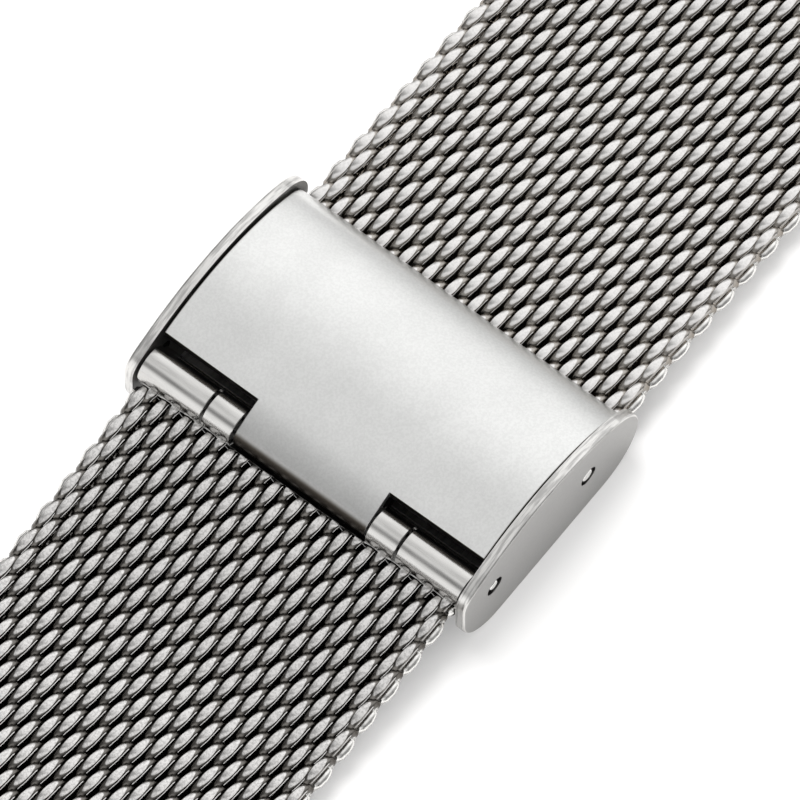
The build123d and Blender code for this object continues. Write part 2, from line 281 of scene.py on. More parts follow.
def smooth_path(corners):
    """Middle line of a strap as arc length, place and heading, with the arc lengths where its runs meet.

    The heading goes from one run's to the next's as 3t^2 - 2t^3 while t goes from 0 to 1 over the bend's
    reach, and the place is the running sum of the heading's cosine and sine times the step.
    """
    runs = np.diff(corners, axis=0)
    lengths = np.hypot(runs[:, 0], runs[:, 1])
    headings = np.arctan2(runs[:, 1], runs[:, 0])
    breaks = np.cumsum(lengths)
    along = np.arange(0, breaks[-1] + PATH_STEP, PATH_STEP)
    heading = np.full_like(along, headings[0])
    for place, turn in zip(breaks[:-1], np.diff(headings)):
        share = np.clip((along - place) / (2 * BEND_REACH) + 0.5, 0, 1)
        heading += turn * share ** 2 * (3 - 2 * share)
    x = corners[0, 0] + np.concatenate([[0], np.cumsum(np.cos(heading[:-1]) * PATH_STEP)])
    z = corners[0, 1] + np.concatenate([[0], np.cumsum(np.sin(heading[:-1]) * PATH_STEP)])
    return {"along": along, "x": x, "z": z, "heading": heading, "breaks": breaks, "length": breaks[-1]}


def on_path(path, along, across, above):
    """Points at a distance along the middle line, across the band and above the line, as an array of XYZ.

    The distance above goes along the line's normal: minus the heading's sine along X, its cosine along Z.
    """
    x = np.interp(along, path["along"], path["x"])
    z = np.interp(along, path["along"], path["z"])
    heading = np.interp(along, path["along"], path["heading"])
    x = x - above * np.sin(heading)
    z = z + above * np.cos(heading)
    return np.stack([x, across + 0 * x, z], axis=-1)


# Where a turn's rings of points lie, over the crest, underneath and round an edge loop, in degrees.
TOP_ANGLES = (0, 24, 44, 67, 90, 113, 136, 156)
UNDER_ANGLES = (180, 215, 250, 290, 325)
LOOP_ANGLES = (25, 60, 90, 120, 155, 190, 220)
# The powers that make a turn squarer than an ellipse, along the band and upwards.
CREST_POWERS = (0.80, 0.72)
# A ring round the wire is a regular hexagon with its points at these shares of the radius. The outer two come
# first, and the inner two fourth and fifth.
RING_POINTS = 6
OUTER_POINTS = 2
INNER_POINTS = slice(3, 5)
ROUND_SHARES = (0.5, 0.866)
# A ring that faces sideways is measured from the ground plane as if it faced at least this far upwards.
LEAST_LIFT = 0.3
# The crest map's value on wire away from a crest, and the height map's on an edge loop.
FAR_OFF_CREST = 10.0
OPEN_WIRE = 2.0


def row_path(weave, half_thickness, half_width, odd):
    """One coil row's middle line about its own middle, the way outwards at each point, and the loop's points.

    With the turn angle t, the wire is at row_reach * cos(t) along the band and loop_height * sin(t) above it,
    both drawn out to a squarer loop by raising cosine and sine to a power, and across it at
    pitch * (t + lean / 2 * sin 2t) / 2 pi, pressed together near the edge. The row begins and ends with a
    crest. At one edge its wire swings on round a loop: with the loop angle u it is at -loop_reach * cos(u)
    along the band, loop_bulge * sin(u) further out and loop_rise * sin(u) up. Outwards is an ellipse's normal
    on the coil, and level and away from the loop's middle on the loop. An even row is an odd one turned half
    round.
    """
    loop_height = half_thickness - weave.ground_depth
    turns = round(2 * half_width / weave.turn_pitch)
    last_across = turns * weave.turn_pitch / 2
    loop_base = half_width + weave.edge_reach - weave.wire_radius - weave.loop_bulge
    angles = np.array(TOP_ANGLES + UNDER_ANGLES, float)
    t = np.radians((angles[None, :] + 360 * np.arange(turns)[:, None]).ravel()[:-len(UNDER_ANGLES)])
    cosine, sine = np.cos(t), np.sin(t)
    along = weave.row_reach * np.sign(cosine) * np.abs(cosine) ** CREST_POWERS[0]
    above = loop_height * np.sign(sine) * np.abs(sine) ** CREST_POWERS[1]
    advance = (t + weave.crest_lean / 2 * np.sin(2 * t)) / (2 * math.pi)
    across = last_across + weave.turn_pitch * (advance - turns + 0.5)
    across -= weave.edge_crowding * np.maximum(across - half_width + weave.turn_pitch / 2, 0)
    coil = np.stack([along, across, above], axis=-1)
    coil_out = np.stack([cosine * loop_height, 0 * cosine, sine * weave.row_reach], axis=-1)
    u = np.radians(LOOP_ANGLES)
    loop = np.stack([-weave.loop_reach * np.cos(u), loop_base + weave.loop_bulge * np.sin(u),
                     weave.loop_rise * np.sin(u)], axis=-1)
    loop_out = np.stack([-np.cos(u), np.sin(u), 0 * u], axis=-1)
    centre = np.concatenate([coil, loop])
    outward = np.concatenate([coil_out, loop_out])
    if not odd:
        half_turned = np.array([-1.0, -1.0, 1.0])
        centre, outward = centre * half_turned, outward * half_turned
    return centre, outward, np.arange(len(centre)) >= len(coil)


def row_profile(weave, half_thickness, half_width, odd):
    """One coil row about its own middle, as rings of points round the wire, with its crest and height maps.

    The two outer points of a ring lie on the plane that the crests are ground to: at a height h over the
    wire's middle the ground strip is 2 * sqrt(r^2 - h^2) wide. The crest map is the place along the band and
    across the wire in millimetres, and the height map the share of half the mesh's thickness.
    """
    radius = weave.wire_radius
    centre, outward, in_loop = row_path(weave, half_thickness, half_width, odd)
    tangent = np.gradient(centre, axis=0)
    tangent /= np.linalg.norm(tangent, axis=1, keepdims=True)
    outward -= (outward * tangent).sum(axis=1, keepdims=True) * tangent
    outward /= np.linalg.norm(outward, axis=1, keepdims=True)
    sideways = np.cross(tangent, outward)
    lift = np.maximum(np.abs(outward[:, 2]), LEAST_LIFT)
    height = np.clip((half_thickness - np.abs(centre[:, 2])) / lift, 0, radius)
    ground = (height < ROUND_SHARES[1] * radius) & ~in_loop
    strip = np.where(ground, np.sqrt(np.maximum(radius ** 2 - height ** 2, 0)), ROUND_SHARES[0] * radius)
    height = np.where(ground, height, ROUND_SHARES[1] * radius)
    inner = np.full_like(strip, ROUND_SHARES[0] * radius)
    depth = np.full_like(strip, -ROUND_SHARES[1] * radius)
    side = np.full_like(strip, radius)
    level = np.zeros_like(strip)
    wide = np.stack([-strip, strip, side, inner, -inner, -side], axis=-1)
    high = np.stack([height, height, level, depth, depth, level], axis=-1)
    rings = centre[:, None, :] + wide[..., None] * sideways[:, None, :]
    rings = rings + high[..., None] * outward[:, None, :]
    beside = np.repeat(centre[:, :1], RING_POINTS, axis=1)
    crest = np.stack([beside, wide * np.sign(sideways[:, 1:2])], axis=-1) / MM
    crest[:, INNER_POINTS, 0] = FAR_OFF_CREST
    crest[in_loop, :, 0] = FAR_OFF_CREST
    height = np.where(in_loop[:, None], OPEN_WIRE, np.abs(rings[..., 2]) / half_thickness)
    ground = np.repeat(ground[:, None], RING_POINTS, axis=1)
    return {"rings": rings, "crest": crest, "height": height, "ground": ground}


def half_knuckle_gap():
    """Half the distance between the two short knuckles, where the cover's curl sits."""
    return min(abs(corner[1]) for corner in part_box("short_knuckle_left"))


def clear_of_cover(points):
    """Points moved out of the way of the open cover, whose skin swings down between the short knuckles.

    A point whose distance from the barrel along the skin's direction falls short of the reach moves on along
    that direction until it doesn't.
    """
    barrel = hinge_point("strap_a_hinge")
    outward = np.array([math.cos(OPEN_SKIN_ANGLE), math.sin(OPEN_SKIN_ANGLE)])
    from_barrel = points[..., [0, 2]] - barrel
    nearby = (np.abs(points[..., 1]) < half_knuckle_gap()) & (from_barrel[..., 0] > -OPEN_SKIN_LENGTH)
    missing = np.where(nearby, np.maximum(OPEN_SKIN_REACH - from_barrel @ outward, 0), 0)
    moved = points.copy()
    moved[..., 0] += missing * outward[0]
    moved[..., 2] += missing * outward[1]
    return moved


def laid_rows(path, centres, odd_rows, profiles, ends):
    """Points of the rows whose middles are given, laid along the path and cut off flat at the mesh's ends."""
    points = []
    for centre, odd in zip(centres, odd_rows):
        local = profiles[odd]["rings"].reshape(-1, 3)
        points.append(on_path(path, np.clip(centre + local[:, 0], *ends), local[:, 1], local[:, 2]))
    return np.concatenate(points)


def tube_faces(sizes):
    """Faces of rows with the given numbers of rings: quads from ring to ring, and a cap at each end."""
    quads, caps = [], []
    first = 0
    ring = np.arange(RING_POINTS)
    follow = (ring + 1) % RING_POINTS
    for size in sizes:
        start = first + RING_POINTS * np.arange(size - 1)[:, None]
        ahead = start + RING_POINTS
        quad = np.stack([start + ring, start + follow, ahead + follow, ahead + ring], axis=-1)
        quads.append(quad.reshape(-1, 4))
        caps.append(first + ring[::-1])
        caps.append(first + RING_POINTS * (size - 1) + ring)
        first += RING_POINTS * size
    return np.concatenate(quads).tolist() + np.array(caps).tolist()


def mesh_object(name, points, faces, smooth=True):
    """A new object from an array of points and lists of faces."""
    mesh = bpy.data.meshes.new(name)
    mesh.from_pydata(points.reshape(-1, 3).tolist(), [], faces)
    mesh.polygons.foreach_set("use_smooth", np.full(len(mesh.polygons), smooth))
    mesh.update()
    piece = bpy.data.objects.new(name, mesh)
    bpy.context.scene.collection.objects.link(piece)
    return piece


def weave_piece(name, path, centres, odd_rows, profiles, ends):
    """One stretch of woven wire, with its crest map, its height and the sharp rims of its ground strips."""
    points = laid_rows(path, centres, odd_rows, profiles, ends)
    if name.startswith("woven_a"):
        points = clear_of_cover(points)
    piece = mesh_object(name, points, tube_faces([len(profiles[odd]["rings"]) for odd in odd_rows]))
    mesh = piece.data
    crest = np.concatenate([profiles[odd]["crest"].reshape(-1, 2) for odd in odd_rows])
    height = np.concatenate([profiles[odd]["height"].ravel() for odd in odd_rows])
    ground = np.concatenate([profiles[odd]["ground"].ravel() for odd in odd_rows])
    corner = np.empty(len(mesh.loops), dtype=np.int32)
    mesh.loops.foreach_get("vertex_index", corner)
    mesh.uv_layers.new(name="crest").data.foreach_set("uv", crest[corner].astype(np.float32).ravel())
    mesh.attributes.new("height", "FLOAT", "POINT").data.foreach_set("value", height.astype(np.float32))
    pairs = np.empty(2 * len(mesh.edges), dtype=np.int32)
    mesh.edges.foreach_get("vertices", pairs)
    pairs = pairs.reshape(-1, 2)
    corners = pairs % RING_POINTS
    on_rim = (corners[:, 0] == corners[:, 1]) & (corners[:, 0] < OUTER_POINTS)
    sharp = mesh.attributes.new("sharp_edge", "BOOLEAN", "EDGE")
    sharp.data.foreach_set("value", on_rim & ground[pairs[:, 0]] & ground[pairs[:, 1]])
    return piece


def weave_strap(half, path, bodies, nodes, weave, material):
    """All stretches of one half, each from the middle of one run of mesh to the middle of the next.

    The end stretches ride on the first or last body; the others are left unattached, with their transforms
    applied.
    """
    low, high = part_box(nodes[1])
    half_thickness = weave_half_thickness()
    half_width = (high[1] - low[1]) / 2
    profiles = [row_profile(weave, half_thickness, half_width, odd) for odd in (0, 1)]
    low_end = lug_tube_gap() if half == "a" else 0
    high_end = path["length"] - (lug_tube_gap() if half == "b" else 0)
    first = low_end - weave.row_spacing / 2
    last = high_end + (weave.row_spacing / 2 if half == "b" else LAST_ROW_OVERHANG)
    count = round((last - first) / weave.row_spacing) + 1
    centres = np.linspace(first, last, count)
    odd_rows = np.arange(count) % 2
    hinges = np.concatenate([[0], path["breaks"]])
    middles = (hinges[1:] + hinges[:-1]) / 2
    edges = np.concatenate([[-np.inf], middles, [np.inf]])
    for number, (start, end) in enumerate(zip(edges[:-1], edges[1:])):
        chosen = (centres >= start) & (centres < end)
        piece = weave_piece(f"woven_{half}_{number + 1}", path, centres[chosen], odd_rows[chosen], profiles,
                            (low_end, high_end))
        piece.data.materials.append(material)
        if number < len(nodes):
            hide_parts(nodes[number])
        if 0 < number < len(bodies):
            if half == "b" and number == 1:
                start, end = hinges[number] - TIGHT_BEND_REACH, hinges[number] + TIGHT_BEND_REACH
            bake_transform(piece)
        else:
            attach(piece, bodies[0] if number == 0 else bodies[-1])


def weld_line(path, half_thickness, half_width, material):
    """The bead that joins half A's mesh to its knuckles: a thin ring carried across the end of the mesh.

    Its radius is a mean times one plus a sum of three sines of the place across the band, and its middle
    sways along the band by another sine.
    """
    y = np.linspace(-half_width + WELD_RADIUS, half_width - WELD_RADIUS, WELD_STEPS)[:, None]
    wave = y / MM
    swell = sum((size * np.sin(rate * wave + start) for size, rate, start in WELD_WAVES), 1.0)
    turn = np.linspace(0, -2 * math.pi, RING_POINTS, endpoint=False)[None, :]
    sway = WELD_SWAY * np.sin(WELD_SWAY_RATE * wave)
    along = path["length"] - WELD_RADIUS / 2 + sway + WELD_RADIUS * swell * np.cos(turn)
    above = half_thickness - WELD_RADIUS * WELD_SUNK_SHARE + WELD_RADIUS * swell * np.sin(turn)
    piece = mesh_object("weld_line", clear_of_cover(on_path(path, along, y, above)), tube_faces([len(y)]))
    piece.data.materials.append(material)
    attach(piece, "strap_a_1")


def end_strip(material):
    """The thin slanting strip that closes half A's end under the cover's curl, clear of the open cover,
    painted near black as shade with the lever's colour.

    Its section is given about the barrel, in millimetres.
    """
    section = hinge_point("strap_a_hinge") + MM * np.array(STRIP_SECTION)
    half_length = half_knuckle_gap() - WELD_RADIUS
    y = np.array([-half_length, half_length])
    x, z = np.tile(section, (2, 1)).T
    points = np.stack([x, np.repeat(y, len(section)), z], axis=-1)
    first = np.arange(len(section))
    follow = np.roll(first, -1)
    sides = np.stack([first, follow, follow + len(section), first + len(section)], axis=-1)
    ends = [first[::-1].tolist(), (first + len(section)).tolist()]
    piece = mesh_object("end_strip", points, sides.tolist() + ends, smooth=False)
    piece.data.materials.append(material)
    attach(piece, "strap_a_1")


def weave_half_thickness():
    """Half the mesh's thickness, from the box of a level run of mesh."""
    low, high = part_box("mesh_a_3")
    return (high[2] - low[2]) / 2


def lug_tube_gap():
    """Distance from a lug tube's middle to where the woven rows start."""
    low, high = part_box("end_tube_a")
    return (high[0] - low[0]) / 2 - TUBE_OVERLAP


def shaded(colour, share):
    """A colour times a share."""
    return tuple(share * c for c in colour)


class NodeSheet:
    """The node tree of a material, or of a world, with short ways to add and join nodes."""

    def __init__(self, name, world=False):
        self.owner = bpy.data.worlds.new(name) if world else bpy.data.materials.new(name)
        self.owner.use_nodes = True
        self.tree = self.owner.node_tree
        self.tree.nodes.clear()
        self.output = self.tree.nodes.new("ShaderNodeOutputWorld" if world else "ShaderNodeOutputMaterial")

    def add(self, kind, inputs=None, **settings):
        """A new node. Inputs are values or sockets, by name or number."""
        node = self.tree.nodes.new(kind)
        for key, value in settings.items():
            setattr(node, key, value)
        for key, value in (inputs or {}).items():
            if isinstance(value, bpy.types.NodeSocket):
                self.tree.links.new(value, node.inputs[key])
            else:
                node.inputs[key].default_value = value
        return node

    def math(self, operation, first, second=0.0, third=0.0):
        """The result of one operation on numbers."""
        return self.add("ShaderNodeMath", {0: first, 1: second, 2: third}, operation=operation).outputs[0]

    def place(self):
        """The point's place on the object."""
        return self.add("ShaderNodeTexCoord").outputs["Object"]

    def axis(self, vector, name):
        """One of a vector's three numbers."""
        return self.add("ShaderNodeSeparateXYZ", {0: vector}).outputs[name]

    def stretched(self, place, scale):
        """A place scaled along each axis."""
        return self.add("ShaderNodeMapping", {"Vector": place, "Scale": scale}).outputs["Vector"]

    def noise(self, place, scale, detail=3.0, roughness=0.5):
        """Soft noise between 0 and 1."""
        inputs = {"Vector": place, "Scale": scale, "Detail": detail, "Roughness": roughness}
        return self.add("ShaderNodeTexNoise", inputs).outputs["Fac"]

    def fade(self, value, low, high, to_low=0.0, to_high=1.0):
        """A value taken from one span to another, held at its ends and eased between them."""
        inputs = {"Value": value, "From Min": low, "From Max": high, "To Min": to_low, "To Max": to_high}
        return self.add("ShaderNodeMapRange", inputs, interpolation_type="SMOOTHSTEP").outputs["Result"]

    def mix(self, share, first, second):
        """A colour between two, each a socket or three numbers."""
        first, second = (value if isinstance(value, bpy.types.NodeSocket) else (*value, 1.0)
                         for value in (first, second))
        return self.add("ShaderNodeMix", {0: share, 6: first, 7: second}, data_type="RGBA").outputs[2]

    def bump(self, height, distance, strength=1.0):
        """A bump normal."""
        inputs = {"Height": height, "Distance": distance, "Strength": strength}
        return self.add("ShaderNodeBump", inputs).outputs[0]

    def metal(self, colour, roughness, normal):
        """The material, with one metal shader on its surface."""
        inputs = {"Base Color": colour, "Metallic": 1.0, "Roughness": roughness, "Normal": normal}
        return self.finished(self.add("ShaderNodeBsdfPrincipled", inputs))

    def finished(self, shader):
        """The material or world, with a shader on its surface."""
        self.tree.links.new(shader.outputs[0], self.output.inputs["Surface"])
        return self.owner


# The two halves' painted light and shade, and their facet widths, change over within this distance of the
# clasp's middle: the long half's deep wire and flanks are painted lighter and the short half's crests darker.
# The pairs of widths and shares below are for the short half and the long one.
CHANGE_OVER = 6 * MM
DEEP_SHADE_SHARES = (1.0, 4.0)
FLANK_SHADE_SHARES = (1.0, 2.2)
DULL_SHARES = (0.66, 0.80)
BRIGHT_SHARES = (0.90, 0.90)
# The facet on a crest and the painted highlight line beside it, in millimetres about the crest's middle. The
# facet's oval, the line's sides and the line's ends each fade in between two numbers.
FACET_HALF_LENGTH = 0.58
FACET_HALF_WIDTHS = (0.198, 0.215)
FACET_RIM = (1.22, 0.98)
RAGGED_SHARE = 0.25
LINE_OFFSET = 0.247
LINE_BOW = 0.035
LINE_RIM = (0.016, 0.008)
LINE_ENDS = (1.2, 0.85)
LINE_SHARES = (0.95, 0.6)
# Heights between which the wire goes from its painted deep shade to its painted flank shade, and from that to
# an edge loop's polished tone, left without painted shade.
FLANK_HEIGHTS = (0.55, 1.0)
LOOP_HEIGHTS = (1.05, 1.7)
# Levels of the noise between dull and bright specks, and the roughness of round wire and of its facets.
SPECK_LEVELS = (0.40, 0.56)
WIRE_ROUGHNESS = (0.26, 0.38)


def weave_material(finish):
    """Wire: ground crests with an oval outline, round flanks painted dark as shade with a fine painted
    highlight line, and gaps painted near black as shade.

    The short half's crests are painted darker than the long half's, as shade, and are more speckled.
    """
    sheet = NodeSheet("woven wire")
    place = sheet.place()
    long_half = sheet.fade(sheet.axis(place, "X"), -CHANGE_OVER, CHANGE_OVER)

    def by_half(colour, shares):
        """A colour times one share in the short half and another in the long one."""
        return sheet.mix(long_half, shaded(colour, shares[0]), shaded(colour, shares[1]))

    crest = sheet.add("ShaderNodeSeparateXYZ", {0: sheet.add("ShaderNodeUVMap", uv_map="crest").outputs[0]})
    along = sheet.math("DIVIDE", crest.outputs["X"], FACET_HALF_LENGTH)
    across = sheet.math("DIVIDE", crest.outputs["Y"], sheet.fade(long_half, 0.0, 1.0, *FACET_HALF_WIDTHS))
    bow = sheet.math("MULTIPLY", along, along)
    oval = sheet.math("ADD", bow, sheet.math("MULTIPLY", across, across))
    wobble = sheet.noise(place, 3500.0, 2.0)
    ground = sheet.fade(sheet.math("ADD", oval, sheet.math("MULTIPLY", wobble, RAGGED_SHARE)), *FACET_RIM)
    height = sheet.add("ShaderNodeAttribute", attribute_name="height").outputs["Fac"]
    lit = sheet.fade(height, *FLANK_HEIGHTS)
    speckle = sheet.noise(place, 9000.0, 2.0, 0.7)
    # The wire deep in the weave is painted near black as shade, lightened on the long half.
    deep = by_half(finish.shade_and_speck_colour, DEEP_SHADE_SHARES)
    flank_shade = sheet.mix(lit, deep, by_half(finish.flank_shade_colour, FLANK_SHADE_SHARES))
    flank_shade = sheet.mix(sheet.fade(height, *LOOP_HEIGHTS), flank_shade, finish.polish_colour)
    # A fine painted highlight line beside each crest, in the crest's colour, with its normal turned upwards.
    painted_glint = sheet.math("ADD", crest.outputs["Y"], sheet.math("MULTIPLY_ADD", bow, -LINE_BOW, LINE_OFFSET))
    painted_glint = sheet.fade(sheet.math("ABSOLUTE", painted_glint), *LINE_RIM)
    painted_glint = sheet.math("MULTIPLY", painted_glint, sheet.fade(bow, *LINE_ENDS))
    painted_glint = sheet.math("MULTIPLY", painted_glint, sheet.fade(long_half, 0.0, 1.0, *LINE_SHARES))
    flank_shade = sheet.mix(painted_glint, flank_shade, finish.crest_colour)
    crest_tone = sheet.mix(sheet.fade(speckle, *SPECK_LEVELS), by_half(finish.crest_colour, DULL_SHARES),
                           by_half(finish.crest_colour, BRIGHT_SHARES))
    colour = sheet.mix(ground, flank_shade, crest_tone)
    rough = sheet.fade(sheet.math("MAXIMUM", ground, painted_glint), 0.0, 1.0, *WIRE_ROUGHNESS)
    upright = sheet.add("ShaderNodeVectorTransform", {0: (0.0, 0.0, 1.0)}, vector_type="NORMAL",
                        convert_from="OBJECT", convert_to="WORLD").outputs[0]
    turned = sheet.add("ShaderNodeMix", {0: painted_glint, 4: sheet.bump(speckle, 0.006 * MM, 0.4), 5: upright},
                       data_type="VECTOR").outputs[1]
    normal = sheet.add("ShaderNodeVectorMath", {0: turned}, operation="NORMALIZE").outputs[0]
    return sheet.metal(colour, rough, normal)


# The cover is painted dark as shade as its face turns towards the short half, and close to its cut edges.
CURL_SHADE_FACING = (-0.42, -0.84)
CUT_EDGE_SHADE_REACH = (0.09 * MM, 0.03 * MM)


def satin_material(finish):
    """The cover: fine blasted grain, slight clouds, painted shade on its curl as it turns away and on cut
    edges.
    """
    sheet = NodeSheet("satin cover steel")
    place = sheet.place()
    grain = sheet.noise(place, 14000.0, 3.0, 0.7)
    cloud = sheet.noise(place, 300.0, 3.0)
    colour = sheet.mix(sheet.fade(cloud, 0.3, 0.7), shaded(finish.satin_colour, 0.94), finish.satin_colour)
    blasted = sheet.noise(place, 7500.0, 2.0, 0.6)
    colour = sheet.mix(sheet.fade(blasted, 0.66, 0.34, 0.0, 0.08), colour, finish.shade_and_speck_colour)
    # Painted shade on the curl as its face turns towards the short half.
    facing = sheet.axis(sheet.add("ShaderNodeTexCoord").outputs["Normal"], "X")
    colour = sheet.mix(sheet.fade(facing, *CURL_SHADE_FACING), colour, finish.shade_and_speck_colour)
    # Painted shade along the cover's cut edges.
    from_side = sheet.math("ABSOLUTE", sheet.axis(place, "Y"))
    half_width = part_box("cover_plate")[1][1]
    rim = sheet.fade(from_side, *(half_width - reach for reach in CUT_EDGE_SHADE_REACH))
    colour = sheet.mix(rim, colour, finish.shade_and_speck_colour)
    rough = sheet.fade(grain, 0.2, 0.8, finish.satin_roughness - 0.06, finish.satin_roughness + 0.06)
    return sheet.metal(colour, rough, sheet.bump(grain, 0.004 * MM, 0.5))


def brushed_material(name, colour, roughness, stretch):
    """Brushed steel: noise drawn out along one axis."""
    sheet = NodeSheet(name)
    streak = sheet.noise(sheet.stretched(sheet.place(), stretch), 2600.0, 4.0, 0.65)
    cloud = sheet.noise(sheet.place(), 260.0, 3.0)
    tone = sheet.mix(sheet.fade(streak, 0.3, 0.62), shaded(colour, 0.72), colour)
    rough = sheet.fade(cloud, 0.3, 0.7, roughness - 0.04, roughness + 0.05)
    return sheet.metal(tone, rough, sheet.bump(streak, 0.006 * MM, 0.5))


# Shares of the plate's colour on its outer faces, painted darker as shade, and how far outwards these are
# turned.
PLATE_FACE_SHADE_SHARES = (0.41, 0.49)
PLATE_FACING = (0.75, 0.97)
# Shares of the plate's and the polish's colour in the streaks on its edges.
PLATE_EDGE_SHARES = (0.58, 0.90)
# Painted shade in the round recess in which a pin's end sits, with a rim that fades in between two distances.
RECESS_RADIUS = 0.52 * MM
RECESS_RIM = (0.02 * MM, -0.01 * MM)
RECESS_SHADE_COLOUR = (0.02, 0.018, 0.016)


def plate_material(finish):
    """Side plates: smooth outer faces, fine streaks on the edges that run round them, dark pin recesses.

    The outer faces are painted darker as shade, and the pin recesses painted near black as shade.
    """
    sheet = NodeSheet("side plate steel")
    place = sheet.place()
    outer = sheet.axis(sheet.add("ShaderNodeNewGeometry").outputs["True Normal"], "Y")
    facing = sheet.fade(sheet.math("ABSOLUTE", outer), *PLATE_FACING)
    streak = sheet.noise(sheet.stretched(place, (0.10, 1.0, 0.10)), 7000.0, 4.0, 0.6)
    grain = sheet.noise(place, 9000.0, 2.0, 0.6)
    edge = sheet.mix(sheet.fade(streak, 0.36, 0.60), shaded(finish.plate_colour, PLATE_EDGE_SHARES[0]),
                     shaded(finish.polish_colour, PLATE_EDGE_SHARES[1]))
    # The outer faces are painted darker than the edges as shade.
    face = sheet.mix(grain, *(shaded(finish.plate_colour, share) for share in PLATE_FACE_SHADE_SHARES))
    tone = sheet.mix(facing, edge, face)
    # Painted near black shade in the recesses round the pins.
    recess_shade = 0.0
    for pin in ("lever_pin", "catch_pin"):
        low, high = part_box(pin)
        middle = (-(low[0] + high[0]) / 2, 0.0, -(low[2] + high[2]) / 2)
        inputs = {"Vector": place, "Location": middle, "Scale": (1.0, 0.0, 1.0)}
        from_pin = sheet.add("ShaderNodeMapping", inputs).outputs[0]
        radius = sheet.add("ShaderNodeVectorMath", {0: from_pin}, operation="LENGTH").outputs["Value"]
        inside = sheet.fade(radius, *(RECESS_RADIUS + rim for rim in RECESS_RIM))
        recess_shade = sheet.math("MAXIMUM", recess_shade, inside)
    tone = sheet.mix(recess_shade, tone, RECESS_SHADE_COLOUR)
    rough = sheet.fade(facing, 0.0, 1.0, 0.30, 0.40)
    bump = sheet.bump(sheet.math("MULTIPLY", streak, sheet.math("SUBTRACT", 1.0, facing)), 0.006 * MM, 0.5)
    return sheet.metal(tone, rough, bump)


def polished_material(name, colour, roughness):
    """Polished steel with faint rubs."""
    sheet = NodeSheet(name)
    rub = sheet.noise(sheet.stretched(sheet.place(), (1.0, 0.15, 1.0)), 2400.0, 4.0, 0.6)
    tone = sheet.mix(sheet.fade(rub, 0.35, 0.65), shaded(colour, 0.86), colour)
    rough = sheet.fade(rub, 0.3, 0.7, roughness - 0.03, roughness + 0.05)
    return sheet.metal(tone, rough, sheet.bump(rub, 0.003 * MM, 0.4))


def weld_material(colour):
    """Weld: lumpy, mottled steel."""
    sheet = NodeSheet("weld steel")
    lump = sheet.noise(sheet.place(), 3200.0, 4.0, 0.65)
    tone = sheet.mix(sheet.fade(lump, 0.38, 0.6), shaded(colour, 0.35), colour)
    return sheet.metal(tone, sheet.fade(lump, 0.3, 0.7, 0.28, 0.5), sheet.bump(lump, 0.03 * MM, 0.8))


def all_materials(finish):
    """Every finish on the band, by a short name."""
    plate, polish = finish.plate_colour, finish.polish_colour
    return {
        "weave": weave_material(finish),
        "satin": satin_material(finish),
        "plate": plate_material(finish),
        "base": brushed_material("base plate steel", plate, 0.34, (0.12, 1.0, 1.0)),
        "tube": polished_material("polished tube steel", shaded(polish, 0.78), 0.20),
        "pin": polished_material("pin steel", polish, 0.16),
        # The lever's steel is painted near black as shade for the dark slots; the barrel pin and the end
        # strip take it too.
        "lever": brushed_material("lever steel", shaded(plate, 0.12), 0.42, (1.0, 0.1, 1.0)),
        "spring": brushed_material("spring steel", shaded(plate, 0.4), 0.34, (1.0, 0.2, 1.0)),
        "weld": weld_material(plate),
    }


def finish_node(name, material):
    """Gives a carried-over part its finish."""
    node = frame["nodes"][name]
    node.data.materials.clear()
    node.data.materials.append(material)


# Points of a part's mesh that are nearer than this are one point.
SAME_POINT = 0.0005 * MM


def stand_in(node_name, name, body, material, change):
    """A new piece that stands for a part: a copy of its mesh after a change, riding a body.

    The change is a function of the copy as a bmesh whose doubled points have been joined.
    """
    mesh = frame["nodes"][node_name].data.copy()
    mesh.name = name
    shape = bmesh.new()
    shape.from_mesh(mesh)
    bmesh.ops.remove_doubles(shape, verts=shape.verts, dist=SAME_POINT)
    change(shape)
    shape.to_mesh(mesh)
    shape.free()
    mesh.materials.clear()
    mesh.materials.append(material)
    piece = bpy.data.objects.new(name, mesh)
    bpy.context.scene.collection.objects.link(piece)
    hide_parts(node_name)
    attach(piece, body)
    return piece


SHARP_ANGLE = math.radians(35)
FLAT_ANGLE = math.radians(0.4)


def soft_cover(material, width):
    """The cover with its sharp edges broken by a small bevel."""
    def change(shape):
        bmesh.ops.dissolve_limit(shape, angle_limit=FLAT_ANGLE, verts=shape.verts, edges=shape.edges)

    piece = stand_in("cover_plate", "cover_shell", "cover", material, change)
    mesh = piece.data
    mesh.polygons.foreach_set("use_smooth", np.ones(len(mesh.polygons), dtype=bool))
    if mesh.attributes.get("custom_normal"):
        mesh.attributes.remove(mesh.attributes["custom_normal"])
    mesh.set_sharp_from_angle(angle=SHARP_ANGLE)
    bevel = piece.modifiers.new("broken edges", "BEVEL")
    bevel.limit_method = "ANGLE"
    bevel.angle_limit = SHARP_ANGLE
    bevel.width = width
    bevel.segments = 2
    bevel.harden_normals = True


def kept_side(outward):
    """A change that keeps one side of a tube, where Y has the sign of outward, and closes the cut."""
    def change(shape):
        everything = [*shape.verts, *shape.edges, *shape.faces]
        cut = bmesh.ops.bisect_plane(shape, geom=everything, plane_co=(0, 0, 0), plane_no=(0, -outward, 0),
                                     clear_outer=True)
        rims = [part for part in cut["geom_cut"] if isinstance(part, bmesh.types.BMEdge)]
        bmesh.ops.bridge_loops(shape, edges=rims)

    return change


def halved_spring(half, material):
    """A spring bar's spring as two halves, each riding the parent body of its own tip's press joint."""
    name = f"bar_spring_{half}"
    for side, outward in (("left", 1), ("right", -1)):
        tip = joints[f"tip_{half}_{side}_press"]
        piece = stand_in(name, f"{name}_{side}", tip["parent"], material, kept_side(outward))
        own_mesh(piece)


# The first operator fills this, and the others take their finishes from it.
materials = {}


